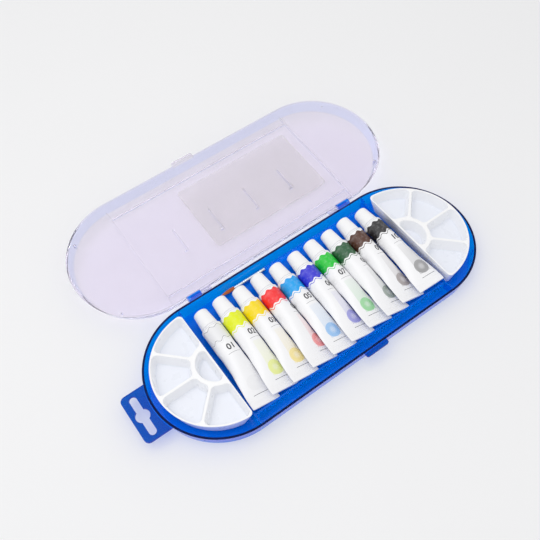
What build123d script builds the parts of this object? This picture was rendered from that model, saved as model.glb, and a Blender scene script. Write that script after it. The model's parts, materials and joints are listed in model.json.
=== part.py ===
"""Gouache paint case: a shallow tray with round ends, a clear hinged lid, ten paint tubes,
two lift-out mixing palettes and a fine brush.

Millimetres. The origin is the centre of the tray's underside, X runs along the case with the
hang tab at -X, +Y is the hinge side and +Z is up. The lid is drawn open, as it lies in use.
"""

import os
from math import asin, atan, cos, degrees, radians, sin, tan

from build123d import *

# Tray
tray_height = 13.0
tray_wall = 1.6
tray_floor = 1.5
tray_outer_lean = 2.0
tray_inner_lean = 1.0
tray_foot_radius = 1.2

# Dividers moulded in the tray
divider_top = 10.3
divider_thickness = 1.6
divider_draft = 2.5
front_channel = 7.8
front_rib_thickness = 1.4
brush_trough = 7.65
row_margin = 1.4
gusset_length = 4.0
gusset_thickness = 1.2

# Snap ribs on the inside of the round ends
snap_rib_width = 1.2
snap_rib_depth = 1.0
snap_rib_height = 6.0
snap_rib_drop = 1.0
snap_rib_angle = 45.0

# Hinge
hinge_reach = 2.0
rim_gap = 0.3
open_angle = 175.5
barrel_radius = 2.4
barrel_length = 11.0
barrel_setback = 20.5
barrel_foot_drop = 5.0
pin_radius = 1.0
pin_clearance = 0.06
pin_length = 8.5
pin_end_gap = 0.6
lug_radius = 1.75
lug_width = 8.0
lug_side_gap = 0.5
lug_root_drop = 3.4
lug_root_setback = 0.5
barrel_relief = 0.35

# Opening tabs, side by side at the front edge
tab_length = 19.5
tab_reach = 3.5
tab_thickness = 1.7
tab_drop = 0.4
tab_gap = 0.5
tab_corner = 1.6

# Hang tab with its hook slot
hang_reach = 16.0
hang_width = 38.0
hang_thickness = 2.0
hang_drop = 1.4
hang_corner = 4.0
slot_length = 32.0
slot_width = 5.4
slot_bulge_radius = 5.2
slot_setback = 7.9

# Lid
lid_depth = 10.3
lid_wall = 1.4
lid_panel = 1.3
lid_outer_lean = 2.8
lid_inner_lean = 2.7
lid_edge_radius = 1.6
lid_rib_height = 1.6
lid_rib_thickness = 1.2
lid_cross_rib_setback = 0.6
lid_long_rib_inset = 12.0
lid_rib_foot = 0.4
lid_snap_rib_height = 6.0
hook_rib_length = 22.0
hook_rib_y = -5.0
hook_rib_thickness = 1.0
hook_rib_height = 2.2
hook_rib_pitch = 33.8
hook_foot_length = 2.6
label_length = 107.0
label_width = 62.0
label_thickness = 0.2
label_corner = 3.0
label_x = 24.5
label_y = 5.0

# Mixing palettes
palette_side_gap = 6.4
palette_height = 17.2
palette_wall = 1.3
palette_lean = 3.5
palette_flat_gap = 0.6
palette_setback = 2.6
palette_corner = 3.0
palette_rim_radius = 0.35
well_depth = 10.0
well_floor = 1.2
well_draft = 11.0
well_corner = 3.6
well_floor_radius = 1.2
divider_width = 1.8
centre_well_radius = 15.5
outer_well_count = 4

# Paint tubes
tube_radius = 8.0
tube_length = 69.8
tail_width = 21.0
tail_length = 6.0
tail_thickness = 1.5
tail_swell = 0.2
flatten_power = 1.735
tail_overlap = 0.5
tail_fold_step = 0.35
tail_fold_length = 5.0
shoulder_height = 1.1
neck_radius = 3.8
neck_length = 8.6
tube_spacing = 0.8
seat_gap = 0.2

# Screw caps
cap_length = 14.0
cap_base_radius = 6.7
cap_top_radius = 5.6
cap_top_edge = 0.9
cap_gap = 0.25
cap_bore_clearance = 0.06
cap_bore_depth = 9.4

# Each tube: how far its cap and its tail stand from its pitch line, the gap from the front rib
# to its tail, how far its tail is raised, and its roll about its own axis in degrees.
# The tails are rolled clear of each other seen from above, so that each tube lifts straight up;
# the last one lies level, over the divider beside it.
tube_places = [
    (1.7, 1.0, 1.0, 0.0, 41.0),
    (1.6, 1.0, 2.2, 0.0, 46.0),
    (1.4, 0.8, 0.7, 0.0, 43.0),
    (1.6, 0.5, 1.6, 0.0, 47.0),
    (1.5, 0.1, 0.8, 0.0, 42.0),
    (1.8, -0.3, 0.8, 0.0, 46.0),
    (1.4, -0.7, 1.8, 0.0, 43.0),
    (1.1, -1.1, 1.2, 0.0, 46.0),
    (1.2, -1.55, 2.8, 0.0, 45.0),
    (1.8, 0.5, 1.6, 3.4, 2.0),
]

# Brush
brush_end_gap = 7.5
brush_wall_gap = 0.2
tuft_length = 13.0
ferrule_length = 28.0
handle_length = 90.0
handle_radius = 1.8
handle_end_radius = 1.1
ferrule_radius = 1.75
ferrule_mouth_radius = 1.45
ferrule_wall = 0.25
tuft_seat_depth = 4.0
handle_seat_depth = 6.0
tuft_belly_at = 0.35
tuft_belly = 1.22
tuft_point = 0.15
strand_rings = 10
strand_radius = 0.045

# The row of tubes sets the case's width and length
tube_pitch = 2 * tube_radius + tube_spacing
cap_start = tube_length + shoulder_height + cap_gap
tube_reach = cap_start + cap_length
largest_tail_gap = max(tail_gap for _, _, tail_gap, _, _ in tube_places)
row_width = front_channel + front_rib_thickness + largest_tail_gap + tube_reach + brush_trough
case_width = 2 * tray_wall + row_width
front_rib_y = -case_width / 2 + tray_wall + front_channel + front_rib_thickness / 2
tail_line_y = front_rib_y + front_rib_thickness / 2
cross_wall_x = len(tube_places) / 2 * tube_pitch + row_margin + divider_thickness / 2
palette_flat_x = cross_wall_x + divider_thickness / 2 + palette_flat_gap
end_x = palette_flat_x - palette_setback
case_length = 2 * end_x + case_width
palette_radius = case_width / 2 - tray_wall - palette_side_gap

# Derived places
hinge_y = case_width / 2 + hinge_reach
barrel_inner_x = end_x - barrel_setback
lid_cross_rib_x = cross_wall_x - lid_cross_rib_setback
lid_long_rib_y = case_width / 2 - lid_long_rib_inset
rim_z = tray_height
hinge_z = rim_z + rim_gap / 2
tray_outer_draft = degrees(atan(tray_outer_lean / tray_height))
tray_inner_draft = degrees(atan(tray_inner_lean / (tray_height - tray_floor)))
divider_level_lean = (rim_z - divider_top) * tan(radians(tray_inner_draft))
lid_outer_draft = degrees(atan(lid_outer_lean / lid_depth))
lid_inner_draft = degrees(atan(lid_inner_lean / (lid_depth - lid_panel)))
lid_inner_depth = lid_depth - lid_panel
lid_tilt = radians(180.0 - open_angle)
lid_centre_y = hinge_y * cos(lid_tilt) + rim_gap / 2 * sin(lid_tilt)
lid_centre_z = hinge_y * sin(lid_tilt) - rim_gap / 2 * cos(lid_tilt)
lid_plane = Plane(
    origin=(0, hinge_y + lid_centre_y, hinge_z + lid_centre_z),
    x_dir=(1, 0, 0),
    z_dir=(0, -sin(lid_tilt), cos(lid_tilt)),
)
steepest_roll = radians(max(roll for _, _, _, _, roll in tube_places))
tail_drop = tail_width / 2 * sin(steepest_roll) + tail_thickness / 2 * cos(steepest_roll)
tube_axis_z = tray_floor + seat_gap + max(tube_radius, tail_drop)


def outline(inset):
    """Case outline moved in by the inset: two straight sides and two half-round ends."""
    SlotOverall(case_length - 2 * inset, case_width - 2 * inset)


def lid_section(x):
    """Plane across the lid at x: its first axis runs away from the hinge, its second out of the rim."""
    return Plane(
        origin=lid_plane.from_local_coords((x, 0, 0)),
        x_dir=lid_plane.y_dir,
        z_dir=(1, 0, 0),
    )


def end_centres():
    """Centres of the two half-round ends with the direction that each one faces."""
    return [(-end_x, 180.0), (end_x, 0.0)]


# Base tray
with BuildPart() as base_tray:
    with BuildSketch(Plane.XY.offset(rim_z)):
        outline(0)
    extrude(amount=-tray_height, taper=tray_outer_draft)
    fillet(base_tray.faces().sort_by(Axis.Z)[0].outer_wire().edges(), tray_foot_radius)

    hang_centre_x = -case_length / 2 - hang_reach + slot_setback
    with BuildSketch(Plane.XY.offset(rim_z - hang_drop)) as hang_sketch:
        with Locations((-case_length / 2 - hang_reach, 0)):
            Rectangle(hang_reach + tray_wall * 4, hang_width, align=(Align.MIN, Align.CENTER))
        fillet(hang_sketch.vertices().group_by(Axis.X)[0], hang_corner)
    extrude(amount=-hang_thickness)
    with BuildSketch(Plane.XY.offset(rim_z - hang_drop)):
        with Locations((hang_centre_x, 0)):
            SlotOverall(slot_length, slot_width, rotation=90)
            Circle(slot_bulge_radius)
    extrude(amount=-hang_thickness, mode=Mode.SUBTRACT)

    with BuildSketch(Plane.XY.offset(rim_z - tab_drop)) as tab_sketch:
        with Locations((tab_gap, -case_width / 2 - tab_reach)):
            Rectangle(tab_length, tab_reach + tray_wall / 2, align=(Align.MIN, Align.MIN))
        fillet(tab_sketch.vertices().group_by(Axis.Y)[0], tab_corner)
    extrude(amount=-tab_thickness)

    for side in (-1, 1):
        barrel_start = min(side * barrel_inner_x, side * (barrel_inner_x + barrel_length))
        with BuildSketch(Plane.YZ.offset(barrel_start)):
            with Locations((hinge_y, hinge_z)):
                Circle(barrel_radius)
            with BuildLine():
                Polyline(
                    (case_width / 2 - tray_wall / 2, rim_z),
                    (case_width / 2 - tray_wall / 2, rim_z - barrel_foot_drop),
                    (hinge_y, hinge_z - barrel_radius),
                    (hinge_y, rim_z),
                    close=True,
                )
            make_face()
        extrude(amount=barrel_length)

    with BuildSketch(Plane.XY.offset(rim_z)):
        outline(tray_wall)
    extrude(amount=-(rim_z - divider_top), taper=tray_inner_draft, mode=Mode.SUBTRACT)

    with BuildSketch(Plane.XY.offset(divider_top)):
        outline(tray_wall + divider_level_lean)
        with Locations((-cross_wall_x, 0), (cross_wall_x, 0)):
            Rectangle(divider_thickness, case_width, mode=Mode.SUBTRACT)
        with Locations((0, front_rib_y)):
            Rectangle(2 * cross_wall_x, front_rib_thickness, mode=Mode.SUBTRACT)
    extrude(amount=-(divider_top - tray_floor), taper=divider_draft, mode=Mode.SUBTRACT)

    for centre_x, facing in end_centres():
        with BuildSketch(Plane.XY.offset(rim_z - snap_rib_drop)):
            with Locations((centre_x, 0)):
                with PolarLocations(
                    case_width / 2 - tray_wall - snap_rib_depth,
                    2,
                    start_angle=facing - snap_rib_angle,
                    angular_range=4 * snap_rib_angle,
                ):
                    Rectangle(snap_rib_depth + tray_wall / 2, snap_rib_width, align=(Align.MIN, Align.CENTER))
        extrude(amount=-snap_rib_height)

    with BuildSketch(Plane.XY.offset(rim_z - snap_rib_drop)):
        with GridLocations(2 * cross_wall_x, case_width - 2 * tray_wall - gusset_length, 2, 2):
            Rectangle(gusset_thickness, gusset_length + tray_wall)
    extrude(amount=-(rim_z - snap_rib_drop - divider_top))

    for side in (-1, 1):
        with BuildSketch(Plane.YZ.offset(side * barrel_inner_x)):
            with Locations((hinge_y, hinge_z)):
                Circle(pin_radius + pin_clearance)
        extrude(amount=side * (pin_length + pin_end_gap - lug_side_gap), mode=Mode.SUBTRACT)

base_tray.part.label = "base_tray"


# Clear lid, drawn open
with BuildPart() as lid:
    with BuildSketch(lid_plane):
        outline(0)
    extrude(amount=-lid_depth, taper=lid_outer_draft)
    lid_up = Axis((0, 0, 0), lid_plane.z_dir)
    fillet(lid.faces().sort_by(lid_up)[0].outer_wire().edges(), lid_edge_radius)
    with BuildSketch(lid_plane):
        outline(lid_wall)
    extrude(amount=-lid_inner_depth, taper=lid_inner_draft, mode=Mode.SUBTRACT)

    inner_half_width = case_width / 2 - lid_wall - lid_inner_lean
    with BuildSketch(lid_plane.offset(-lid_inner_depth)):
        with Locations((-lid_cross_rib_x, 0), (lid_cross_rib_x, 0)):
            Rectangle(lid_rib_thickness, 2 * (inner_half_width + lid_rib_foot))
        with Locations((0, -lid_long_rib_y), (0, lid_long_rib_y)):
            Rectangle(2 * lid_cross_rib_x, lid_rib_thickness)
    extrude(amount=lid_rib_height)

    with BuildSketch(lid_plane.offset(-lid_inner_depth)):
        with Locations((0, hook_rib_y)):
            with GridLocations(hook_rib_pitch, 0, 4, 1):
                Rectangle(hook_rib_thickness, hook_rib_length)
        with Locations((-hook_foot_length / 2, hook_rib_y - hook_rib_length / 2)):
            with GridLocations(hook_rib_pitch, 0, 4, 1):
                Rectangle(hook_foot_length, hook_rib_thickness, align=(Align.CENTER, Align.MIN))
    extrude(amount=hook_rib_height)

    for centre_x, facing in end_centres():
        with BuildSketch(lid_plane.offset(-lid_inner_depth)):
            with Locations((centre_x, 0)):
                with PolarLocations(
                    inner_half_width - snap_rib_depth / 2,
                    2,
                    start_angle=facing - snap_rib_angle,
                    angular_range=4 * snap_rib_angle,
                ):
                    Rectangle(2 * snap_rib_depth, snap_rib_width, align=(Align.MIN, Align.CENTER))
        extrude(amount=lid_snap_rib_height)

    with BuildSketch(lid_plane.offset(-tab_drop)) as lid_tab_sketch:
        with Locations((-tab_gap, case_width / 2 + tab_reach)):
            Rectangle(tab_length, tab_reach + lid_wall / 2, align=(Align.MAX, Align.MAX))
        fillet(lid_tab_sketch.vertices().sort_by(Axis((0, 0, 0), lid_plane.y_dir))[-2:], tab_corner)
    extrude(amount=-tab_thickness)

    for side in (-1, 1):
        lug_outer_x = barrel_inner_x - lug_side_gap
        lug_start = min(side * lug_outer_x, side * (lug_outer_x - lug_width))
        with BuildSketch(lid_section(lug_start)):
            with Locations((-hinge_y, rim_gap / 2)):
                Circle(lug_radius)
            with BuildLine():
                Polyline(
                    (-hinge_y, rim_gap / 2 + lug_radius),
                    (-case_width / 2, 0),
                    (-case_width / 2 + lid_wall / 2, 0),
                    (-case_width / 2 + lid_wall / 2 + lug_root_setback, -lug_root_drop),
                    (-hinge_y, rim_gap / 2 - lug_radius),
                    close=True,
                )
            make_face()
        extrude(amount=lug_width)
        with BuildSketch(lid_section(side * barrel_inner_x - side * lug_side_gap)):
            with Locations((-hinge_y, rim_gap / 2)):
                Circle(pin_radius)
        extrude(amount=side * pin_length)
        relief_near = barrel_inner_x - barrel_relief
        relief_length = barrel_length + 2 * barrel_relief
        relief_start = min(side * relief_near, side * (relief_near + relief_length))
        with BuildSketch(lid_section(relief_start)):
            with Locations((-hinge_y, rim_gap / 2)):
                Circle(barrel_radius + barrel_relief)
                Circle(pin_radius, mode=Mode.SUBTRACT)
        extrude(amount=relief_length, mode=Mode.SUBTRACT)

lid.part.label = "lid"

with BuildPart() as lid_label:
    with BuildSketch(lid_plane.offset(-lid_depth)):
        with Locations((label_x, label_y)):
            RectangleRounded(label_length, label_width, label_corner)
    extrude(amount=-label_thickness)

lid_label.part.label = "lid_label"


def half_disc(radius, corner, lean):
    """Half disc whose straight side stands at the origin, moved in by the lean and with rounded corners."""
    with BuildSketch(mode=Mode.PRIVATE) as shape:
        Circle(radius - lean)
        with Locations((lean, 0)):
            Rectangle(2 * radius, 2 * radius, align=(Align.MAX, Align.CENTER), mode=Mode.SUBTRACT)
        fillet(shape.vertices(), corner)
    return shape.sketch


def well_ring(inner, outer, index):
    """One outer well: the ring between two radii, cut to its share of the half circle by the dividers."""
    share = 180.0 / outer_well_count
    middle = -90.0 + share * (index + 0.5)
    with BuildSketch(mode=Mode.PRIVATE) as shape:
        Circle(outer)
        Circle(inner, mode=Mode.SUBTRACT)
        reach = 2 * outer
        spread = radians(share / 2)
        setback = divider_width / 2 / sin(spread)
        with BuildSketch(mode=Mode.INTERSECT):
            with BuildLine():
                Polyline(
                    (setback, 0),
                    (setback + reach * cos(spread), reach * sin(spread)),
                    (setback + reach * cos(spread), -reach * sin(spread)),
                    close=True,
                )
            make_face()
        fillet(shape.vertices(), well_corner)
    return shape.sketch.rotate(Axis.Z, middle)


def mixing_palette(side):
    """Half-round palette: a thin skirt down to the tray floor and five wells sunk from its rim."""
    foot = tray_floor + seat_gap
    top = foot + palette_height
    low = Plane(origin=(side * palette_flat_x, 0, foot), x_dir=(side, 0, 0))
    high = Plane(origin=(side * palette_flat_x, 0, top), x_dir=(side, 0, 0))
    with BuildPart() as palette:
        with BuildSketch(low):
            add(half_disc(palette_radius, palette_corner, palette_lean))
        with BuildSketch(high):
            add(half_disc(palette_radius, palette_corner, 0))
        loft(ruled=True)
        with BuildSketch(low):
            add(half_disc(palette_radius, palette_corner - palette_wall / 2, palette_lean + palette_wall))
        extrude(amount=palette_height - well_depth - well_floor, mode=Mode.SUBTRACT)
        outer_reach = palette_radius - palette_wall
        with BuildSketch(high):
            add(half_disc(centre_well_radius, well_corner, palette_wall))
            for index in range(outer_well_count):
                add(well_ring(centre_well_radius + divider_width, outer_reach, index))
        extrude(amount=-well_depth, taper=well_draft, mode=Mode.SUBTRACT)
        fillet(palette.edges().group_by(Axis.Z)[-1], palette_rim_radius)
        level_faces = palette.faces().filter_by(Plane.XY)
        well_floors = level_faces.filter_by_position(Axis.Z, top - well_depth, top - well_depth)
        fillet(well_floors.edges(), well_floor_radius)
    return palette.part


left_palette = mixing_palette(-1)
left_palette.label = "left_palette"
right_palette = mixing_palette(1)
right_palette.label = "right_palette"


def tube_plane(place, along):
    """Plane across a tube at a distance from its folded tail; its first axis lies in the fold's width."""
    pitch_line, (cap_shift, tail_shift, tail_gap, tail_rise, roll) = place
    skew = asin((cap_shift - tail_shift) / (tube_length + cap_length))
    dip = asin(tail_rise / tube_length)
    ahead = Vector(sin(skew) * cos(dip), cos(skew) * cos(dip), -sin(dip))
    across = Vector(-cos(skew), sin(skew), 0)
    width_dir = across * cos(radians(roll)) + ahead.cross(across) * sin(radians(roll))
    tail = Vector(pitch_line + tail_shift, tail_line_y + tail_gap, tube_axis_z + tail_rise)
    return Plane(origin=tail + ahead * along, x_dir=width_dir, z_dir=ahead)


def flattened(half_height):
    """Half width of the tube where it is pressed to this half height, with its girth about the same."""
    share = (half_height / tube_radius) ** flatten_power
    return tail_width / 2 - (tail_width / 2 - tube_radius) * share


def paint_tube(place):
    """Filled tube: round at the shoulder, flattening to a folded tail, with its threaded neck plain."""
    stations = [
        (tail_length, tail_thickness / 2 + tail_swell),
        (tube_length * 0.32, tube_radius * 0.62),
        (tube_length * 0.58, tube_radius * 0.86),
    ]
    with BuildPart() as tube:
        for along, half_height in stations:
            with BuildSketch(tube_plane(place, along)):
                Ellipse(flattened(half_height), half_height)
        with BuildSketch(tube_plane(place, tube_length * 0.84)):
            Circle(tube_radius)
        with BuildSketch(tube_plane(place, tube_length)):
            Circle(tube_radius)
        loft()
        with BuildSketch(tube_plane(place, 0)):
            Rectangle(tail_width, tail_thickness)
        extrude(amount=tail_length + tail_overlap)
        with BuildSketch(tube_plane(place, 0)):
            with Locations((0, tail_fold_step)):
                Rectangle(tail_width, tail_thickness)
        extrude(amount=tail_fold_length)
        with BuildSketch(tube_plane(place, tube_length)):
            Circle(tube_radius)
        with BuildSketch(tube_plane(place, tube_length + shoulder_height)):
            Circle(cap_base_radius)
        loft()
        with BuildSketch(tube_plane(place, tube_length + shoulder_height)):
            Circle(neck_radius)
        extrude(amount=neck_length)
    return tube.part


def screw_cap(place):
    """Tapered cap that runs on the tube's neck, closed at the far end."""
    with BuildPart() as cap:
        with BuildSketch(tube_plane(place, cap_start)):
            Circle(cap_base_radius)
        with BuildSketch(tube_plane(place, cap_start + cap_length)):
            Circle(cap_top_radius)
        loft()
        ahead = tube_plane(place, 0).z_dir
        fillet(cap.edges().sort_by(Axis((0, 0, 0), ahead))[-1], cap_top_edge)
        with BuildSketch(tube_plane(place, cap_start)):
            Circle(neck_radius + cap_bore_clearance)
        extrude(amount=cap_bore_depth, mode=Mode.SUBTRACT)
    return cap.part


tubes = {}
for number, shifts in enumerate(tube_places, start=1):
    place = ((number - (len(tube_places) + 1) / 2) * tube_pitch, shifts)
    tube = paint_tube(place)
    tube.label = f"tube_{number:02d}"
    cap = screw_cap(place)
    cap.label = f"tube_{number:02d}_cap"
    tubes[tube.label] = tube
    tubes[cap.label] = cap


# Brush, lying along the back wall
brush_y = case_width / 2 - tray_wall - tray_inner_lean - handle_radius - brush_wall_gap
brush_z = tray_floor + seat_gap + handle_radius
handle_x = cross_wall_x - divider_thickness / 2 - brush_end_gap - handle_length
ferrule_x = handle_x - ferrule_length


def brush_plane(x):
    """Plane across the brush at x."""
    return Plane(origin=(x, brush_y, brush_z), x_dir=(0, 1, 0), z_dir=(1, 0, 0))


with BuildPart() as brush_ferrule:
    with BuildSketch(brush_plane(ferrule_x)):
        Circle(ferrule_mouth_radius)
    with BuildSketch(brush_plane(handle_x)):
        Circle(ferrule_radius)
    loft()
    with BuildSketch(brush_plane(ferrule_x)):
        Circle(ferrule_mouth_radius - ferrule_wall)
    extrude(amount=ferrule_length, mode=Mode.SUBTRACT)

brush_ferrule.part.label = "brush_ferrule"

with BuildPart() as brush_handle:
    seat_radius = ferrule_mouth_radius - ferrule_wall
    with BuildSketch(brush_plane(handle_x - handle_seat_depth)):
        Circle(seat_radius)
    extrude(amount=handle_seat_depth)
    with BuildSketch(brush_plane(handle_x)):
        Circle(ferrule_radius)
    with BuildSketch(brush_plane(handle_x + handle_length * 0.25)):
        Circle(handle_radius)
    with BuildSketch(brush_plane(handle_x + handle_length)):
        Circle(handle_end_radius)
    loft()

brush_handle.part.label = "brush_handle"


def strand(ring):
    """Three-sided strand of a ring, of flat faces, that swells and draws in with the tuft."""
    triangles = []
    for share, spread in ((0, 1), (tuft_belly_at, tuft_belly), (1, tuft_point)):
        plane = brush_plane(ferrule_x - share * tuft_length)
        reach = ring * strand_pitch * spread
        radius = strand_radius * spread
        turns = [radians(turn) for turn in (0, 120, 240)]
        corners = [(reach + radius * cos(turn), radius * sin(turn)) for turn in turns]
        triangles.append([plane.from_local_coords((x, y, 0)) for x, y in corners])
    faces = [Face(Wire.make_polygon(triangles[0])), Face(Wire.make_polygon(triangles[-1]))]
    for near, far in zip(triangles, triangles[1:]):
        for here, after in ((0, 1), (1, 2), (2, 0)):
            faces.append(Face(Wire.make_polygon([near[here], near[after], far[after], far[here]])))
    return Solid(Shell(faces))


# Tuft: one strand in the middle and rings of six more strands each, on a slice in the ferrule
tuft_root = ferrule_mouth_radius - ferrule_wall
strand_pitch = tuft_root / (strand_rings + 0.5)
brush_axis = Axis((0, brush_y, brush_z), (1, 0, 0))
strands = []
for ring in range(strand_rings + 1):
    hair = strand(ring)
    ring_count = max(1, 6 * ring)
    strands += [hair.rotate(brush_axis, 360 / ring_count * turn) for turn in range(ring_count)]

with BuildPart() as tuft_slice:
    with BuildSketch(brush_plane(ferrule_x + tuft_seat_depth)):
        Circle(tuft_root)
    extrude(amount=-tuft_seat_depth)

brush_bristles = tuft_slice.part.fuse(*strands, glue=True)
brush_bristles.label = "brush_bristles"


parts = {
    "base_tray": base_tray.part,
    "lid": lid.part,
    "lid_label": lid_label.part,
    "left_palette": left_palette,
    "right_palette": right_palette,
    "brush_handle": brush_handle.part,
    "brush_ferrule": brush_ferrule.part,
    "brush_bristles": brush_bristles,
}
parts.update(tubes)

os.makedirs("parts", exist_ok=True)
for name, part in parts.items():
    export_step(part, f"parts/{name}.step")
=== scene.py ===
"""Looks of the paint case: translucent blue tray, clear lid, printed paint tubes, white palettes, brush.

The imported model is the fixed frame, in metres. Tubes, caps, their numbers and the brush are surfaces
worked out here; tray, lid, label and palettes keep their own meshes and get their finish.
"""

import json
from math import pi, radians

import bmesh
import bpy
import numpy as np
from mathutils import Matrix, Vector


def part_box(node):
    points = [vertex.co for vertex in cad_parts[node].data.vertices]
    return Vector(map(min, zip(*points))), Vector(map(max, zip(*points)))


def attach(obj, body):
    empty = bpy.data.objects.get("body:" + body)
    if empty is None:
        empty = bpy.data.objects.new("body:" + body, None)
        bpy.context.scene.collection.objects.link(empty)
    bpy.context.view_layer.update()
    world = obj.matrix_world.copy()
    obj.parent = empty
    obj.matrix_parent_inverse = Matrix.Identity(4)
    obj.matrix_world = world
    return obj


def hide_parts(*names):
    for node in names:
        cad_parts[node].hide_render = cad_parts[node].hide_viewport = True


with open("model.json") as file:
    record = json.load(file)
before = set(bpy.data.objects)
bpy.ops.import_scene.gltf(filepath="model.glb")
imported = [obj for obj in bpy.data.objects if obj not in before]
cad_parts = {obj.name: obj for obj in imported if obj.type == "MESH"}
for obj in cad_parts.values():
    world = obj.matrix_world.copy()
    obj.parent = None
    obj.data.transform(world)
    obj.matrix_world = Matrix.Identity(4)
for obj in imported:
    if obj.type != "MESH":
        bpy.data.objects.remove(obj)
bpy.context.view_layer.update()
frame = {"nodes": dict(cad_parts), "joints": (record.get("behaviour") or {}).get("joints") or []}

mm = 0.001
tube_count = 10
sharp_angle = radians(40)

# Paint tube, in millimetres from its folded tail, and the roll of each tail in degrees
tail_end = 5.2
shoulder_at = 69.8
shoulder_height = 1.1
neck_radius = 3.8
neck_length = 8.6
tube_radius = 8.0
collar_radius = 6.7
tube_stations = (0.0, 6.0, 14.0, 24.0, 36.0, 50.0, shoulder_at)
tube_half_widths = (11.5, 11.45, 10.9, 9.7, 8.5, 8.03, 8.0)
tube_half_heights = (0.85, 0.95, 2.4, 4.5, 6.7, 7.9, 8.0)
tail_rolls = (19, 20, 19, 20, 19, 20, 20, 21, 20, 2)
tail_bends = (-0.3, -0.5, -0.2, 0.5, 1.4, 1.6, 2.0, 1.9, 1.35, -1.0)

# Section of a tube: powers of the sine that gives its height, and where they change
fold_power = 0.45
crease_excess = 0.6
fold_release = 0.6
rounding_from = 6.0
rounding_length = 40.0
section_samples = 720

# Crimp lines in the fold and slow dents in the body
crimp_margin = 0.5
crimp_pitch = 0.8
crimp_depth = 0.07
dent_depth = 0.13
dents_from = 9.0
dents_rise = 14.0
dents_until = 64.0
dents_fall = 12.0

# Screw cap, in millimetres
cap_gap = 0.25
cap_length = 14.0
cap_base_radius = 6.7
cap_top_radius = 5.6
cap_edge_radius = 1.0
cap_bore_radius = 3.86
cap_bore_depth = 9.4
cap_ribs = 44
cap_rib_depth = 0.06
cap_ribs_from = 1.1
columns_a_rib = 6

# Ferrule of the brush: shares of its length for rings and taper, and sizes in millimetres
ferrule_rings = (0.30, 0.36, 0.78, 0.84)
ferrule_ring_width = 0.012
ferrule_taper_end = 0.7
ferrule_ring_depth = 0.14
ferrule_taper = 0.3
ferrule_wall = 0.2
ferrule_bore_depth = 2.4

# Handle in the ferrule, and strands of the tuft, in millimetres
handle_seat = 5.0
handle_inset = 0.25
tuft_strands = 460
strand_stations = 12
strand_half = 0.042
strand_root = 1.2

# Tray, in millimetres; its two tabs stand out beyond the wall, both on the near side of the hinge
tray_rim = 13.0
tray_half_width = 54.0
tray_straight = 85.0
tray_wall = 1.3
tab_beyond = 0.4
hinge_side = 40.0

# Distance of a palette's outer wall from the middle of its round end, in millimetres
palette_skirt = 41.5

# Least vertical part of the normal of a face that counts as level
level_from = 0.9

# Printed design, in millimetres along a tube: wavy colour band, number, fine lines, pale swatch and disc,
# and a painted shadow line at the shoulder
print_girth = 2 * pi * tube_radius
print_height = 80.0
band_top = 67.0
band_bottom = 55.2
number_at = 47.4
number_size = 6.6
number_weight = 0.12
number_slice = 0.5
number_weld = 0.005
number_middle = 0.35
number_raise = 0.05
number_thickness = 0.03
fine_line = 0.16
shoulder_shadow_at = 68.7
number_line_at = 42.2
tail_line_at = 8.4
swatch_at = 25.6
swatch_half_length = 14.2
swatch_half_width = 5.0
swatch_aside = 0.3
disc_at = 16.6
disc_radius = 5.7
print_leans = (19, 35, 38, 66, 24, 45, 21, 54, 42, 24)

paint_colours = (
    (238, 238, 240), (232, 243, 0), (252, 222, 0), (250, 45, 48), (0, 165, 242),
    (52, 52, 212), (8, 200, 50), (38, 92, 56), (84, 48, 34), (42, 40, 42),
)

# Camera, lamp and table: angles in degrees, lens in millimetres, power in watts, places in metres
camera_yaw, camera_rise, camera_roll = -33.02, 57.81, -3.386
camera_lens = 45.56
camera_place = (-0.16116, -0.18817, 0.44721)
lamp_size = 1.2
lamp_power = 6.4
lamp_place = (-0.35, 0.1, 1.3)
lamp_aim = (0, 0.03, 0)
surround_light, surround_seen = 0.7, 0.93
table_reach = 3.0
table_drop = 0.2


def linear(red, green, blue):
    """Linear colour of an 8-bit screen colour: the screen's gamma taken off each channel."""
    share = np.array((red, green, blue)) / 255
    low = share / 12.92
    high = ((share + 0.055) / 1.055) ** 2.4
    return (*np.where(share <= 0.04045, low, high), 1.0)


# Meshes

def ramp(value, start, length):
    """0 up to start, 1 from start plus length, and a straight line between."""
    return np.clip((value - start) / length, 0, 1)


def skin(name, rings, around=None, along=None):
    """Closed surface through rings of points: neighbours joined by quads, each end by a fan to its middle.

    around and along are the two map coordinates of each point, with one column more than the rings."""
    count, columns = rings.shape[:2]
    poles = np.array([rings[0].mean(0), rings[-1].mean(0)])
    points = np.vstack([rings.reshape(-1, 3), poles])
    ring = np.arange(count - 1)[:, None] * columns
    here = np.arange(columns)[None, :]
    ahead = (here + 1) % columns
    quads = np.stack([ring + here, ring + ahead, ring + columns + ahead, ring + columns + here], -1)
    first, last = count * columns, count * columns + 1
    column = np.arange(columns)
    after = (column + 1) % columns
    top = (count - 1) * columns
    start_fan = np.stack([np.full(columns, first), after, column], -1)
    end_fan = np.stack([np.full(columns, last), top + column, top + after], -1)
    faces = quads.reshape(-1, 4).tolist() + start_fan.tolist() + end_fan.tolist()
    mesh = bpy.data.meshes.new(name)
    mesh.from_pydata(points.tolist(), [], faces)
    if around is not None:
        low = np.stack([around, along], -1)
        quad_map = np.stack([low[:-1, :-1], low[:-1, 1:], low[1:, 1:], low[1:, :-1]], 2).reshape(-1, 2)
        start_map = np.stack([low[0, :-1], low[0, 1:], low[0, :-1]], 1).reshape(-1, 2)
        end_map = np.stack([low[-1, :-1], low[-1, :-1], low[-1, 1:]], 1).reshape(-1, 2)
        layer = mesh.uv_layers.new(name="print")
        layer.data.foreach_set("uv", np.vstack([quad_map, start_map, end_map]).astype(np.float32).ravel())
    mesh.polygons.foreach_set("use_smooth", [True] * len(mesh.polygons))
    mesh.set_sharp_from_angle(angle=sharp_angle)
    return in_scene(name, mesh)


def in_scene(name, data):
    """New object of a mesh, curve, lamp or camera, linked to the scene."""
    piece = bpy.data.objects.new(name, data)
    bpy.context.scene.collection.objects.link(piece)
    return piece


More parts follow.
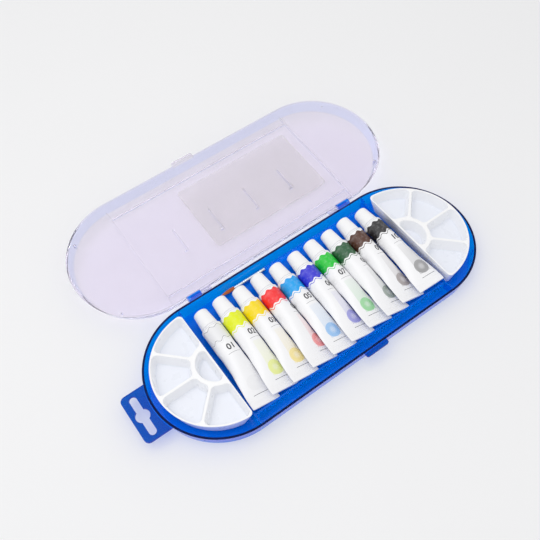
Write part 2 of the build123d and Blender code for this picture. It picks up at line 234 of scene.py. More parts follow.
def smooth_through(stations, values, at):
    """Smooth curve through stations: cubic arcs, level at both ends, their slopes from the neighbours."""
    stations, values = np.array(stations), np.array(values)
    slopes = np.gradient(values, stations)
    slopes[0] = slopes[-1] = 0
    index = np.clip(np.searchsorted(stations, at) - 1, 0, len(stations) - 2)
    width = stations[index + 1] - stations[index]
    t = np.clip((at - stations[index]) / width, 0, 1)
    rise = values[index + 1] - values[index]
    return (values[index] + rise * t * t * (3 - 2 * t)
            + width * t * (1 - t) * (slopes[index] * (1 - t) - slopes[index + 1] * t))


def mesh_points(mesh):
    """All points of a mesh as an array of rows."""
    points = np.zeros(len(mesh.vertices) * 3)
    mesh.vertices.foreach_get("co", points)
    return points.reshape(-1, 3)


def tube_axes(number):
    """Tail point, directions to the cap, across the tail and out of its face, and sideways bend of a tube.

    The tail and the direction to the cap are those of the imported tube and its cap's hinge. The tail
    is rolled about that line, its left edge up, so that each tail lies over the next one's edge."""
    hinge = next(j for j in frame["joints"] if j["name"] == f"cap_{number:02d}_turn")
    ahead = np.array(hinge["axis"], float)
    ahead /= np.linalg.norm(ahead)
    place = np.array(hinge["pos_m"], float)
    tail_at = (mesh_points(frame["nodes"][f"tube_{number:02d}"].data) - place) @ ahead
    tail = place + ahead * tail_at.min()
    level = np.cross((0, 0, 1), ahead)
    level /= np.linalg.norm(level)
    roll = radians(tail_rolls[number - 1])
    width = np.cos(roll) * level + np.sin(roll) * np.cross(ahead, level)
    return tail, ahead, width, np.cross(ahead, width), level * tail_bends[number - 1]


def tube_section(along, angle, number):
    """Width and height of the tube's skin at a distance from its tail and an angle around it.

    Half width times the cosine of the angle, and half height times a power of the sine: under 1 at
    the flat fold, 1.6 where the sides crease, and 1 at the round shoulder. Crimp lines are a wave
    along the fold, and dents are slow waves that fade out at both ends."""
    flat = ramp(along, tail_end, fold_release)
    roundness = ramp(along, rounding_from, rounding_length)
    creased = 1 + crease_excess - crease_excess * roundness * roundness * (3 - 2 * roundness)
    power = fold_power * (1 - flat) + flat * creased
    half_width = smooth_through(tube_stations, tube_half_widths, along)
    half_height = smooth_through(tube_stations, tube_half_heights, along)
    in_fold = (along > crimp_margin) & (along < tail_end - crimp_margin)
    crimps = crimp_depth * (np.cos(2 * pi * along / crimp_pitch) - 1)
    half_height = half_height + np.where(in_fold, crimps, 0)
    fade = ramp(along, dents_from, dents_rise) * ramp(dents_until - along, 0, dents_fall)
    lean = np.sin(along * 0.21 + number * 1.7 + 2 * np.sin(angle + number))
    swell = lean * np.sin(2 * angle + number * 2.3)
    swell += 0.6 * np.sin(along * 0.47 + number * 4.1 + 3 * angle)
    grow = dent_depth * fade * (swell - 1)
    cosine, sine = np.cos(angle), np.sin(angle)
    return (half_width + grow) * cosine, (half_height + grow) * np.sign(sine) * np.abs(sine) ** power


def print_shift(number, axes):
    """Girth from the middle of the tube's face to the middle of its print, which leans from straight up."""
    face = axes[3]
    return tube_radius * (radians(print_leans[number - 1]) - np.arctan2(face[0], face[2]))


def along_axes(axes, along, across, upward):
    """Points at distances along, across and up from a tube's tail, in metres.

    The soft tube bends sideways towards its tail, by the square of the distance from the shoulder."""
    tail, ahead, width, face, bend = axes
    bent = np.clip(1 - along / shoulder_at, 0, None) ** 2
    return tail + mm * (along[..., None] * ahead + across[..., None] * width + upward[..., None] * face
                        - bent[..., None] * bend)


def paint_tube(number, axes):
    """Tube skin: sections from the fold to the shoulder, a cone to the collar and the neck in the cap.

    The first two sections draw in, so that the fold's end is round. The map's two coordinates are the
    girth from the middle of the print and the distance from the tail, as shares of the print's size."""
    columns = 96
    angle = np.linspace(-pi / 2, 1.5 * pi, columns + 1)
    body = np.concatenate([
        np.array([0.0, 0.12, 0.3]), np.arange(0.5, tail_end - 0.5, crimp_pitch / 8),
        np.array([tail_end - 0.4, tail_end, tail_end + 0.3, tail_end + 0.6]),
        np.arange(7.0, shoulder_at - 0.5, 1.0), np.array([shoulder_at - 0.35]),
    ])
    along = np.repeat(body[:, None], columns + 1, 1)
    across, upward = tube_section(along, angle[None, :], number)
    close = np.ones((len(body), 1))
    close[:2, 0] = (0.86, 0.95)
    across, upward = across * (0.5 + 0.5 * close), upward * close
    collar_at = shoulder_at + shoulder_height
    neck_end = collar_at + neck_length
    turned = np.array([
        (shoulder_at - 0.1, tube_radius - 0.06), (shoulder_at + 0.1, tube_radius - 0.25),
        (collar_at - 0.15, collar_radius + 0.2), (collar_at, collar_radius), (collar_at, neck_radius),
        (neck_end - 0.3, neck_radius), (neck_end, neck_radius - 0.3),
    ])
    along = np.vstack([along, np.repeat(turned[:, :1], columns + 1, 1)])
    across = np.vstack([across, turned[:, 1:] * np.cos(angle)])
    upward = np.vstack([upward, turned[:, 1:] * np.sin(angle)])
    step = np.hypot(np.diff(across, axis=1), np.diff(upward, axis=1))
    girth = np.concatenate([np.zeros((len(along), 1)), np.cumsum(step, 1)], 1)
    girth -= girth[:, columns // 2:columns // 2 + 1]
    around = 0.5 + (girth - print_shift(number, axes)) / print_girth
    points = along_axes(axes, along, across, upward)[:, :-1]
    return skin(f"tube_{number:02d}_body", points, around, along / print_height)


def flat_digits(number):
    """Mesh of a number's two digits, flat about the origin and cut into upright slices that can bend.

    Points closer together than the weld are joined, so that no face is left without an area."""
    curve = bpy.data.curves.new("digits", "FONT")
    curve.body = f"{number:02d}"
    curve.size = number_size
    curve.align_x = "CENTER"
    curve.offset = number_weight
    holder = in_scene("digits", curve)
    bpy.context.view_layer.update()
    flat = bpy.data.meshes.new_from_object(holder.evaluated_get(bpy.context.evaluated_depsgraph_get()))
    bpy.data.objects.remove(holder)
    cut = bmesh.new()
    cut.from_mesh(flat)
    bmesh.ops.remove_doubles(cut, verts=cut.verts, dist=1e-4)
    for place in np.arange(-number_size, number_size, number_slice):
        bmesh.ops.bisect_plane(cut, geom=cut.verts[:] + cut.edges[:] + cut.faces[:], dist=number_weld,
                               plane_co=(place, 0, 0), plane_no=(1, 0, 0))
    bmesh.ops.dissolve_degenerate(cut, dist=number_weld, edges=cut.edges[:])
    mesh = bpy.data.meshes.new(f"tube_{number:02d}_number")
    cut.to_mesh(mesh)
    cut.free()
    return mesh


def tube_number(number, axes):
    """Digits wrapped on the tube: each point's distance along the text becomes girth around the tube.

    The girth of the section at the digits' middle is summed in short steps and read backwards."""
    mesh = flat_digits(number)
    points = mesh_points(mesh)
    angle = np.linspace(-pi / 2, 1.5 * pi, section_samples + 1)
    across, upward = tube_section(np.full_like(angle, number_at), angle, number)
    girth = np.concatenate([[0], np.cumsum(np.hypot(np.diff(across), np.diff(upward)))])
    girth -= girth[section_samples // 2]
    turn = np.interp(points[:, 0] + print_shift(number, axes), girth, angle)
    along = number_at + points[:, 1] - number_size * number_middle
    across, upward = tube_section(along, turn, number)
    raised = 1 + number_raise / np.hypot(across, upward)
    placed = along_axes(axes, along, across * raised, upward * raised)
    mesh.vertices.foreach_set("co", placed.astype(np.float32).ravel())
    piece = in_scene(f"tube_{number:02d}_number", mesh)
    thick = piece.modifiers.new("thickness", "SOLIDIFY")
    thick.thickness = number_thickness * mm
    thick.offset = -1
    return piece


def screw_cap(number, axes):
    """Cap turned about the tube's axis: bore, base ring, tapered wall with shallow ribs, round edge, crown.

    Each rib's groove is the sixth power of a sine around the cap, so that the ribs are broad."""
    columns = cap_ribs * columns_a_rib
    angle = np.linspace(0, 2 * pi, columns, endpoint=False)
    start = shoulder_at + shoulder_height + cap_gap
    taper = (cap_top_radius - cap_base_radius) / cap_length
    wall_end = cap_length - cap_edge_radius
    wall = np.linspace(0.35, wall_end, 16)
    arc = np.linspace(0, pi / 2, 8)[1:]
    edge_centre = cap_top_radius - cap_edge_radius - taper * cap_edge_radius
    inside = np.array([
        (cap_bore_depth, 0.6), (cap_bore_depth, cap_bore_radius - 0.1),
        (cap_bore_depth - 0.1, cap_bore_radius), (0.15, cap_bore_radius),
        (0.0, cap_bore_radius + 0.15), (0.0, cap_base_radius - 0.2),
        (0.06, cap_base_radius - 0.07), (0.2, cap_base_radius - 0.01),
    ])
    profile = np.vstack([
        inside,
        np.stack([wall, cap_base_radius + taper * wall], 1),
        np.stack([wall_end + cap_edge_radius * np.sin(arc), edge_centre + cap_edge_radius * np.cos(arc)], 1),
        np.array([(cap_length, edge_centre * 0.6), (cap_length, 0.6)]),
    ])
    ribbed = ramp(profile[:, 0], cap_ribs_from, 0.4) * ramp(wall_end - profile[:, 0], 0, 0.8)
    ribbed[:len(inside)] = 0
    groove = np.abs(np.sin(angle * cap_ribs / 2)) ** 6
    radius = profile[:, 1:] - cap_rib_depth * ribbed[:, None] * groove[None, :]
    along = np.repeat(start + profile[:, :1], columns, 1)
    points = along_axes(axes, along, radius * np.cos(angle), radius * np.sin(angle))
    return skin(f"tube_{number:02d}_screw_cap", points)


def turned_on_x(name, profile, centre, columns=32):
    """Surface turned about a line along X: profile rows are x and radius, in metres, from the low end."""
    angle = np.linspace(0, 2 * pi, columns, endpoint=False)
    x = np.repeat(profile[:, :1], columns, 1)
    y = centre[1] + profile[:, 1:] * np.cos(angle)
    z = centre[2] + profile[:, 1:] * np.sin(angle)
    return skin(name, np.stack([x, y, z], -1))


def brush_pieces():
    """Handle, ferrule and tuft of the brush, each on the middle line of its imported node.

    The ferrule's radius grows in a straight line from its mouth, less a bell curve at each pressed ring.
    The handle's radius is a smooth curve through four stations, with a round tip."""
    low, high = (np.array(c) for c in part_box("brush_ferrule"))
    centre = (low + high) / 2
    mouth, seat = low[0], high[0]
    ferrule_radius = (high[2] - low[2]) / 2
    mouth_radius = ferrule_radius - ferrule_taper * mm
    bore = mouth_radius - ferrule_wall * mm
    bore_end = mouth + ferrule_bore_depth * mm
    share = np.linspace(0, 1, 90)
    rings = np.zeros_like(share)
    for place in ferrule_rings:
        rings += np.exp(-((share - place) / ferrule_ring_width) ** 2)
    widening = (ferrule_radius - mouth_radius) * ramp(share, 0, ferrule_taper_end)
    radius = mouth_radius + widening - ferrule_ring_depth * mm * rings
    wall = np.stack([mouth + share * (seat - mouth), radius], 1)
    inner = np.array([(bore_end, 0.3 * mm), (bore_end, bore), (mouth, bore),
                      (mouth, mouth_radius - 0.04 * mm)])
    ferrule = turned_on_x("brush_ferrule_tube", np.vstack([inner, wall]), centre)

    handle_low, handle_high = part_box("brush_handle")
    end = handle_high[0]
    widest = (handle_high[2] - handle_low[2]) / 2
    radii = (ferrule_radius - 0.05 * mm, widest, widest * 0.82, widest * 0.6)
    share = np.linspace(0, 1, 60)
    radius = smooth_through((0, 0.25, 0.6, 1.0), radii, share)
    tip = np.linspace(0, pi / 2, 8)[1:]
    start = seat - handle_seat * mm
    plug = mouth_radius - handle_inset * mm
    last = radius[-1]
    profile = np.vstack([
        np.array([(start, 0.3 * mm), (start, plug), (seat, plug)]),
        np.stack([seat + share * (end - last - seat), radius], 1),
        np.stack([end - last + last * np.sin(tip) * 0.98, last * np.cos(tip) + 0.01 * mm], 1),
    ])
    handle = turned_on_x("brush_handle_rod", profile, centre)
    return handle, ferrule, brush_tuft(centre, mouth, plug)


def brush_tuft(centre, mouth, root):
    """Tuft of four-sided strands: a golden-angle disc of roots that swells, then draws in to a point.

    The outer strands are up to a tenth shorter, each strand wavers by a slow sine, and its thickness
    falls with the square of the distance to a quarter at its tip."""
    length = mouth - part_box("brush_bristles")[0][0]
    index = np.arange(tuft_strands)
    reach = np.sqrt((index + 0.5) / tuft_strands)
    turn = index * pi * (3 - np.sqrt(5))
    share = np.linspace(0, 1, strand_stations)
    spread = smooth_through((0, 0.35, 0.75, 1.0), (1.0, 1.2, 0.72, 0.16), share)
    shorter = 1 - 0.1 * reach ** 2 * (0.5 + 0.5 * np.sin(index * 7.3))
    x = mouth + strand_root * mm - (share[None, :] * (length + strand_root * mm)) * shorter[:, None]
    middle = root * reach[:, None] * spread[None, :]
    wave = 1 + 0.015 * np.sin(index[:, None] * 2.1 + share[None, :] * 5)
    y = centre[1] + middle * np.cos(turn)[:, None] * wave
    z = centre[2] + middle * np.sin(turn)[:, None] * wave
    half = strand_half * mm * (1 - 0.75 * share ** 2)
    corner = np.arange(4) * pi / 2
    points = np.stack([
        np.repeat(x[..., None], 4, 2),
        y[..., None] + half[None, :, None] * np.cos(corner + pi / 4),
        z[..., None] + half[None, :, None] * np.sin(corner + pi / 4),
    ], -1)
    base = (index * strand_stations * 4)[:, None, None]
    row = base + np.arange(strand_stations - 1)[None, :, None] * 4
    here = np.arange(4)[None, None, :]
    after = (here + 1) % 4
    sides = np.stack([row + here, row + 4 + here, row + 4 + after, row + after], -1).reshape(-1, 4)
    first = base[:, 0] + np.array((0, 1, 2, 3))
    last = base[:, 0] + (strand_stations - 1) * 4 + np.array((3, 2, 1, 0))
    mesh = bpy.data.meshes.new("brush_tuft")
    mesh.from_pydata(points.reshape(-1, 3).tolist(), [], sides.tolist() + first.tolist() + last.tolist())
    return in_scene("brush_tuft", mesh)


# Materials

class Tree:
    """Short ways to add nodes to one node tree and to link them."""

    def __init__(self, nodes_of):
        self.tree = nodes_of
        self.nodes = nodes_of.nodes

    def put(self, socket, value):
        """Links a socket to a value's socket, or sets it to a plain value; None leaves it as it is."""
        if isinstance(value, bpy.types.NodeSocket):
            self.tree.links.new(value, socket)
        elif value is not None:
            socket.default_value = value

    def add(self, kind, inputs=(), **settings):
        """New node with its settings, and its inputs linked or set."""
        node = self.nodes.new(kind)
        for key, value in settings.items():
            setattr(node, key, value)
        for key, value in dict(inputs).items():
            self.put(node.inputs[key], value)
        return node

    def math(self, operation, *values):
        node = self.add("ShaderNodeMath", operation=operation)
        for socket, value in zip(node.inputs, values):
            self.put(socket, value)
        return node.outputs[0]

    def product(self, first, *others):
        for other in others:
            first = self.math("MULTIPLY", first, other)
        return first

    def distance(self, across, along):
        """Root of the sum of two squares."""
        squares = self.math("ADD", self.math("POWER", across, 2.0), self.math("POWER", along, 2.0))
        return self.math("SQRT", squares)

    def mix(self, factor, first, second):
        """Colour that goes from first to second as the factor goes from 0 to 1."""
        inputs = {"Factor": factor, "A": first, "B": second}
        return self.add("ShaderNodeMix", inputs, data_type="RGBA").outputs["Result"]

    def range(self, value, low, high, to_low=0.0, to_high=1.0):
        """Value carried from low and high to two new limits, and held at them beyond."""
        return self.add("ShaderNodeMapRange", {
            "Value": value, "From Min": low, "From Max": high, "To Min": to_low, "To Max": to_high,
        }).outputs["Result"]

    def within(self, value, middle, reach):
        """1 where value is nearer to middle than reach, and otherwise 0."""
        return self.math("LESS_THAN", self.math("ABSOLUTE", self.math("SUBTRACT", value, middle)), reach)

    def place(self):
        """Object coordinates, in metres."""
        return self.add("ShaderNodeTexCoord").outputs["Object"]

    def own_normal(self):
        """X, Y and Z of the normal in the object's own axes."""
        return self.split(self.add("ShaderNodeTexCoord").outputs["Normal"])

    def split(self, vector):
        return self.add("ShaderNodeSeparateXYZ", {"Vector": vector}).outputs

    def noise(self, vector, scale, detail=None):
        inputs = {"Vector": vector, "Scale": scale, "Detail": detail}
        return self.add("ShaderNodeTexNoise", inputs).outputs["Fac"]

    def principled(self, inputs):
        return self.add("ShaderNodeBsdfPrincipled", inputs).outputs[0]


def group(name, inputs, outputs):
    """New node group with its sockets; returns the group, its tree helper and its two ends."""
    made = bpy.data.node_groups.new(name, "ShaderNodeTree")
    for label, kind, value in inputs:
        socket = made.interface.new_socket(label, in_out="INPUT", socket_type=kind)
        socket.default_value = value
    for label, kind in outputs:
        made.interface.new_socket(label, in_out="OUTPUT", socket_type=kind)
    tree = Tree(made)
    return made, tree, tree.add("NodeGroupInput").outputs, tree.add("NodeGroupOutput").inputs


def moulded_surface():
    """Group: faint flow marks of a moulded plastic, as roughness and as a small bump."""
    made, tree, given, result = group(
        "moulded_surface",
        [("Roughness", "NodeSocketFloat", 0.2), ("Variation", "NodeSocketFloat", 0.05),
         ("Scale", "NodeSocketFloat", 60.0), ("Depth", "NodeSocketFloat", 0.02)],
        [("Roughness", "NodeSocketFloat"), ("Normal", "NodeSocketVector")],
    )
    marks = tree.noise(tree.place(), given["Scale"], 4.0)
    centred = tree.math("SUBTRACT", marks, 0.5)
    tree.put(result["Roughness"], tree.math("MULTIPLY_ADD", centred, given["Variation"], given["Roughness"]))
    bump = tree.add("ShaderNodeBump", {"Height": marks, "Strength": given["Depth"], "Distance": 0.001})
    tree.put(result["Normal"], bump.outputs["Normal"])
    return made


def tube_print():
    """Group: the printed design of a tube from its map: band, stripe, fine lines, swatch and disc, and a
    painted shadow line at the shoulder.
    """
    made, tree, given, result = group(
        "tube_print",
        [("Paint", "NodeSocketColor", (1, 0, 0, 1)), ("Outline", "NodeSocketFloat", 0.0),
         ("Swatch", "NodeSocketFloat", 1.0)],
        [("Color", "NodeSocketColor"), ("Roughness", "NodeSocketFloat")],
    )
    paint = given["Paint"]
    point = tree.add("ShaderNodeUVMap", uv_map="print").outputs[0]
    scaled = tree.add("ShaderNodeMapping", {"Vector": point, "Scale": (print_girth, print_height, 1),
                                            "Location": (-print_girth / 2, 0, 0)}).outputs[0]
    axis = tree.split(scaled)
    around, along = axis["X"], axis["Y"]

    def wave(height, depth, waves, phase):
        swing = tree.math("SINE", tree.math("MULTIPLY_ADD", around, 2 * pi * waves / print_girth, phase))
        return tree.math("MULTIPLY_ADD", swing, depth, height)

    upper = wave(band_top, depth=0.75, waves=8, phase=0.4)
    lower = tree.math("ADD", wave(band_bottom, depth=0.85, waves=8, phase=2.2),
                      wave(0.0, depth=0.45, waves=5, phase=0.9))
    band = tree.product(tree.math("LESS_THAN", along, upper), tree.math("GREATER_THAN", along, lower))
    rims = tree.math("MAXIMUM", tree.within(along, upper, fine_line), tree.within(along, lower, fine_line))
    stripe = tree.within(along, tree.math("SUBTRACT", lower, 1.5), 0.28)

    white = tree.add("ShaderNodeRGB")
    white.outputs[0].default_value = linear(249, 249, 251)
    grey = linear(120, 122, 128)
    cloud = tree.noise(scaled, 0.35, 3.0)
    washed = tree.mix(tree.range(cloud, 0.5, 0.8, 0.0, 0.15), paint, white.outputs[0])
    colour = tree.mix(tree.math("MAXIMUM", band, stripe), white.outputs[0], washed)
    colour = tree.mix(tree.product(rims, given["Outline"]), colour, grey)
    # Painted shadow: a grey line at the shoulder.
    colour = tree.mix(tree.product(tree.within(along, shoulder_shadow_at, 0.12), 0.55), colour, grey)

    number_line = tree.product(tree.within(along, number_line_at, fine_line),
                               tree.within(around, 0.0, 5.2), 0.6)
    tail_line = tree.product(tree.within(along, tail_line_at, fine_line), tree.within(around, 0.5, 6.0))
    colour = tree.mix(tree.math("MAXIMUM", number_line, tail_line), colour, linear(70, 72, 78))

    fade = tree.range(along, swatch_at + swatch_half_length, swatch_at - swatch_half_length, 0.10, 0.34)
    swatch = tree.product(tree.within(along, swatch_at, swatch_half_length),
                          tree.within(around, swatch_aside, swatch_half_width), fade, given["Swatch"])
    colour = tree.mix(swatch, colour, paint)
    reach = tree.distance(tree.math("SUBTRACT", around, swatch_aside), tree.math("SUBTRACT", along, disc_at))
    disc = tree.product(tree.math("LESS_THAN", reach, disc_radius), tree.range(reach, 1.2, 3.2, 0.25, 0.62),
                        given["Swatch"])
    tree.put(result["Color"], tree.mix(disc, colour, paint))
    tree.put(result["Roughness"], tree.range(cloud, 0.2, 0.8, 0.3, 0.4))
    return made


def new_material(name):
    """Material with an empty node tree; returns it, its tree helper and its surface socket."""
    made = bpy.data.materials.new(name)
    made.use_nodes = True
    made.node_tree.nodes.clear()
    tree = Tree(made.node_tree)
    return made, tree, tree.add("ShaderNodeOutputMaterial").inputs["Surface"]


def surface_finish(tree, roughness, variation, scale, depth):
    """The moulded surface group placed in a material with its own values."""
    node = tree.add("ShaderNodeGroup", {
        "Roughness": roughness, "Variation": variation, "Scale": scale, "Depth": depth,
    }, node_tree=groups["moulded_surface"])
    return node.outputs["Roughness"], node.outputs["Normal"]


def let_light_through(tree, surface, shader, tint, surround=False):
    """Lamps, and the pale surround too if wanted, shine through the plastic and take its tint."""
    clear = tree.add("ShaderNodeBsdfTransparent", {"Color": tint})
    path = tree.add("ShaderNodeLightPath").outputs
    lights = path["Is Shadow Ray"]
    if surround:
        lights = tree.math("MAXIMUM", lights, path["Is Diffuse Ray"])
    mixed = tree.add("ShaderNodeMixShader", {0: lights, 1: shader, 2: clear.outputs[0]})
    tree.put(surface, mixed.outputs[0])


def blue_plastic():
    """Translucent blue moulding with painted light and shade: azure where the table shows through it, walls
    painted a brighter azure, outer walls painted lavender, painted shade darkening the two tabs that stand
    out from the wall, and painted shade nearly black along the rim's edge."""
    made, tree, surface = new_material("blue_styrene")
    roughness, normal = surface_finish(tree, roughness=0.09, variation=0.04, scale=90.0, depth=0.02)
    place = tree.split(tree.place())
    facing = tree.split(tree.add("ShaderNodeNewGeometry").outputs["Normal"])
    level = tree.math("GREATER_THAN", tree.math("ABSOLUTE", facing["Z"]), level_from)
    on_rim = tree.product(tree.within(place["Z"], tray_rim * mm, 0.05 * mm), level)
    past_end = tree.math("SUBTRACT", tree.math("ABSOLUTE", place["X"]), tray_straight * mm)
    from_middle = tree.distance(tree.math("MAXIMUM", past_end, 0.0), place["Y"])
    outside = tree.product(tree.math("GREATER_THAN", from_middle, (tray_half_width - tray_wall) * mm),
                           tree.math("SUBTRACT", 1.0, level))
    on_tab = tree.product(tree.math("GREATER_THAN", from_middle, (tray_half_width + tab_beyond) * mm),
                          tree.math("LESS_THAN", place["Y"], hinge_side * mm))
    # Painted light: steep walls a brighter azure than level faces, as if lit from behind through the
    # plastic.
    colour = tree.mix(level, (0.0, 0.35, 0.95, 1), (0.0, 0.24, 0.9, 1))
    # Painted light: outer wall faces lavender, for blue-tinted light thrown through the wall onto the table.
    colour = tree.mix(outside, colour, (0.24, 0.34, 0.95, 1))
    # Painted shade: the two tabs darker navy, their steep edges darkest.
    colour = tree.mix(on_tab, colour, tree.mix(level, (0.01, 0.02, 0.42, 1), (0.0, 0.12, 0.56, 1)))
    # Painted shade: the rim's top edge nearly black, for light absorbed down the depth of the wall.
    colour = tree.mix(on_rim, colour, (0.003, 0.003, 0.02, 1))
    shader = tree.principled({
        "Base Color": colour, "Roughness": tree.math("MAXIMUM", roughness, tree.product(on_rim, 0.5)),
        "Normal": normal, "Transmission Weight": 0.8, "IOR": 1.2, "Specular IOR Level": 0.1,
    })
    tint = tree.mix(on_tab, (0.8, 0.84, 0.97, 1), (0.42, 0.52, 0.88, 1))
    let_light_through(tree, surface, shader, tint, surround=True)
    return made


def clear_plastic():
    """Clear moulding with a faint lavender tint, with painted shade: a deeper lavender on its walls and
    ribs, for light passing edge-on through them.
    """
    made, tree, surface = new_material("clear_styrene")
    roughness, normal = surface_finish(tree, roughness=0.04, variation=0.03, scale=70.0, depth=0.01)
    # Painted shade: steep faces a deeper lavender, for light passing edge-on through walls and ribs.
    steep = tree.range(tree.math("ABSOLUTE", tree.own_normal()["Z"]), 0.75, 0.35)
    shader = tree.principled({
        "Base Color": tree.mix(steep, (0.825, 0.795, 0.867, 1), (0.8, 0.815, 0.99, 1)),
        "Roughness": roughness, "Normal": normal, "Transmission Weight": 0.9, "IOR": 1.22,
    })
    let_light_through(tree, surface, shader, (0.97, 0.965, 0.995, 1))
    return made


def rod_plastic():
    """Clear brush handle."""
    made, tree, surface = new_material("clear_rod")
    roughness, normal = surface_finish(tree, roughness=0.05, variation=0.03, scale=300.0, depth=0.02)
    shader = tree.principled({
        "Base Color": (0.97, 0.98, 1.0, 1), "Roughness": roughness, "Normal": normal,
        "Transmission Weight": 1.0, "IOR": 1.2,
    })
    let_light_through(tree, surface, shader, (0.9, 0.9, 0.95, 1))
    return made


def frosted_label():
    """Grey frosted film on the lid's outside, seen through its clear panel, with a slight mottle."""
    made, tree, surface = new_material("frosted_film")
    mottle = tree.noise(tree.place(), 45.0, 3.0)
    colour = tree.mix(tree.range(mottle, 0.3, 0.7), linear(232, 232, 222), linear(238, 237, 228))
    shader = tree.principled({
        "Base Color": colour, "Roughness": tree.range(mottle, 0.3, 0.7, 0.55, 0.65), "Alpha": 0.32,
    })
    let_light_through(tree, surface, shader, (0.97, 0.97, 0.97, 1))
    return made


def white_plastic():
    """White palette moulding, with painted shade cooler and darker down its wells, painted light on its
    steep faces, and painted blue light on the skirt around its round end.
    """
    made, tree, surface = new_material("white_styrene")
    roughness, normal = surface_finish(tree, roughness=0.28, variation=0.06, scale=120.0, depth=0.02)
    place = tree.split(tree.place())
    facing = tree.own_normal()
    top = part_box("left_palette")[1][2]
    depth = tree.range(place["Z"], top - 10 * mm, top - 1 * mm)
    steep = tree.range(tree.math("ABSOLUTE", facing["Z"]), 0.6, 0.25)
    past_end = tree.math("SUBTRACT", tree.math("ABSOLUTE", place["X"]), tray_straight * mm)
    sideways = tree.product(tree.math("SIGN", place["X"]), facing["X"])
    outward = tree.math("ADD", tree.product(sideways, past_end), tree.product(facing["Y"], place["Y"]))
    skirt = tree.product(
        tree.math("GREATER_THAN", outward, palette_skirt / 2 * mm),
        tree.math("GREATER_THAN", tree.distance(past_end, place["Y"]), palette_skirt * mm))
    # Painted shade: cooler and darker towards the floors of the wells.
    colour = tree.mix(depth, linear(240, 243, 251), linear(252, 252, 253))
    # Painted light: steep faces lighter, softening the shade on the well walls.
    colour = tree.mix(steep, colour, linear(250, 251, 254))
    # Painted light: the outer skirt at the round end bluish, for blue light from the tray.
    colour = tree.mix(tree.product(skirt, steep), colour, linear(214, 219, 252))
    tree.put(surface, tree.principled({
        "Base Color": colour, "Roughness": roughness, "Normal": normal,
        "Subsurface Weight": 0.15, "Subsurface Scale": 0.004, "Subsurface Radius": (1.0, 1.0, 1.0),
    }))
    return made


def cap_plastic():
    """White cap moulding."""
    made, tree, surface = new_material("cap_white")
    roughness, normal = surface_finish(tree, roughness=0.32, variation=0.06, scale=200.0, depth=0.03)
    tree.put(surface, tree.principled({
        "Base Color": linear(250, 250, 251), "Roughness": roughness, "Normal": normal,
    }))
    return made


def printed_laminate(number):
    """Tube laminate with the printed design in this tube's paint colour."""
    made, tree, surface = new_material(f"laminate_{number:02d}")
    design = tree.add("ShaderNodeGroup", {
        "Paint": linear(*paint_colours[number - 1]),
        "Outline": 1.0 if number == 1 else 0.0, "Swatch": 0.8 if number > 1 else 0.6,
    }, node_tree=groups["tube_print"])
    normal = surface_finish(tree, roughness=0.3, variation=0.0, scale=150.0, depth=0.05)[1]
    tree.put(surface, tree.principled({
        "Base Color": design.outputs["Color"], "Roughness": design.outputs["Roughness"], "Normal": normal,
        "Coat Weight": 0.15, "Coat Roughness": 0.2,
    }))
    return made


def print_ink():
    """Dark ink of the numbers."""
    made, tree, surface = new_material("dark_ink")
    roughness, normal = surface_finish(tree, roughness=0.35, variation=0.05, scale=400.0, depth=0.02)
    tree.put(surface, tree.principled({
        "Base Color": linear(44, 44, 50), "Roughness": roughness, "Normal": normal,
    }))
    return made


def drawn_metal():
    """Bright drawn metal of the ferrule, with fine draw lines along it."""
    made, tree, surface = new_material("ferrule_metal")
    drawn = tree.add("ShaderNodeMapping", {"Vector": tree.place(), "Scale": (0.03, 1.0, 1.0)}).outputs[0]
    lines = tree.noise(drawn, 6000.0, 2.0)
    tree.put(surface, tree.principled({
        "Base Color": linear(226, 227, 230), "Metallic": 1.0,
        "Roughness": tree.range(lines, 0.3, 0.7, 0.16, 0.32),
    }))
    return made


def brush_hair():
    """Orange-brown nylon hair, paler towards the tip."""
    made, tree, surface = new_material("tuft_hair")
    low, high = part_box("brush_bristles")
    from_tip = tree.range(tree.split(tree.place())["X"], low[0], high[0])
    colour = tree.mix(from_tip, linear(240, 150, 80), linear(222, 112, 42))
    tree.put(surface, tree.principled({"Base Color": colour, "Roughness": 0.35}))
    return made


def table_top():
    """Pale plain table, with a trace of unevenness."""
    made, tree, surface = new_material("pale_table")
    cloud = tree.noise(tree.place(), 3.0)
    colour = tree.mix(cloud, linear(243, 243, 244), linear(246, 246, 247))
    tree.put(surface, tree.principled({"Base Color": colour, "Roughness": 0.85, "Specular IOR Level": 0.1}))
    return made


# Camera, light and table

def photograph_camera():
    """Camera at the photograph's place: it looks down at 58 degrees from the front left, a little rolled."""
    yaw, rise, roll = radians(camera_yaw), radians(camera_rise), radians(camera_roll)
    back = Vector((np.sin(yaw) * np.cos(rise), -np.cos(yaw) * np.cos(rise), np.sin(rise)))
    right = (-back).cross(Vector((0, 0, 1))).normalized()
    upward = right.cross(-back)
    across = np.cos(roll) * right + np.sin(roll) * upward
    along = -np.sin(roll) * right + np.cos(roll) * upward
    data = bpy.data.cameras.new("camera")
    data.sensor_width = 36
    data.lens = camera_lens
    camera = in_scene("camera", data)
    turn = Matrix((across, along, back)).transposed().to_4x4()
    camera.matrix_world = Matrix.Translation(camera_place) @ turn
    bpy.context.scene.camera = camera


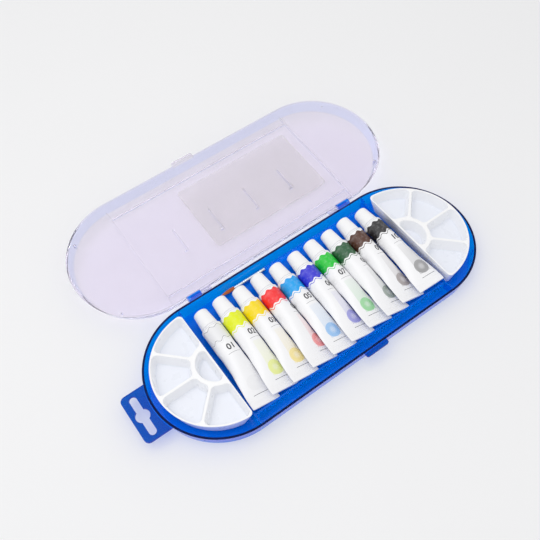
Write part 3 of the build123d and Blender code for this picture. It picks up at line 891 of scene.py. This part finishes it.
def studio():
    """Large soft lamp from the upper left, an even pale surround and a plain table."""
    world = bpy.data.worlds.new("surround")
    bpy.context.scene.world = world
    world.use_nodes = True
    tree = Tree(world.node_tree)
    path = tree.add("ShaderNodeLightPath").outputs
    seen = tree.math("MAXIMUM", path["Is Glossy Ray"], path["Is Transmission Ray"])
    seen = tree.math("MAXIMUM", seen, path["Is Camera Ray"])
    backdrop = world.node_tree.nodes["Background"].inputs
    backdrop["Color"].default_value = (1, 1, 1, 1)
    tree.put(backdrop["Strength"], tree.range(seen, 0.0, 1.0, surround_light, surround_seen))
    lamp = bpy.data.lights.new("soft_lamp", "AREA")
    lamp.shape = "RECTANGLE"
    lamp.size = lamp.size_y = lamp_size
    lamp.energy = lamp_power
    holder = in_scene("soft_lamp", lamp)
    holder.location = lamp_place
    holder.rotation_euler = (Vector(lamp_aim) - holder.location).to_track_quat("-Z", "Y").to_euler()
    below = -table_drop * mm
    corners = [(-table_reach, -table_reach, below), (table_reach, -table_reach, below),
               (table_reach, table_reach, below), (-table_reach, table_reach, below)]
    mesh = bpy.data.meshes.new("table")
    mesh.from_pydata(corners, [], [(0, 1, 2, 3)])
    mesh.materials.append(table_top())
    in_scene("table", mesh)


def wear(piece, material):
    """Gives a piece its material: in the slots that it has, or in a new one."""
    if piece.material_slots:
        for slot in piece.material_slots:
            slot.material = material
    else:
        piece.data.materials.append(material)


def place_piece(piece, material, body, node=None):
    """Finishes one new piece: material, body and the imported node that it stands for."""
    wear(piece, material)
    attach(piece, body)
    if node:
        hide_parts(node)


groups = {"moulded_surface": moulded_surface(), "tube_print": tube_print()}
photograph_camera()
studio()
bpy.context.scene.view_settings.view_transform = "Standard"

wear(frame["nodes"]["base_tray"], blue_plastic())
wear(frame["nodes"]["lid"], clear_plastic())
wear(frame["nodes"]["lid_label"], frosted_label())
palette_white = white_plastic()
wear(frame["nodes"]["left_palette"], palette_white)
wear(frame["nodes"]["right_palette"], palette_white)

cap_white = cap_plastic()
ink = print_ink()
for number in range(1, tube_count + 1):
    axes = tube_axes(number)
    name = f"tube_{number:02d}"
    place_piece(paint_tube(number, axes), printed_laminate(number), name, name)
    place_piece(tube_number(number, axes), ink, name)
    place_piece(screw_cap(number, axes), cap_white, f"cap_{number:02d}", f"{name}_cap")

handle, ferrule, tuft = brush_pieces()
place_piece(handle, rod_plastic(), "brush", "brush_handle")
place_piece(ferrule, drawn_metal(), "brush", "brush_ferrule")
place_piece(tuft, brush_hair(), "brush", "brush_bristles")
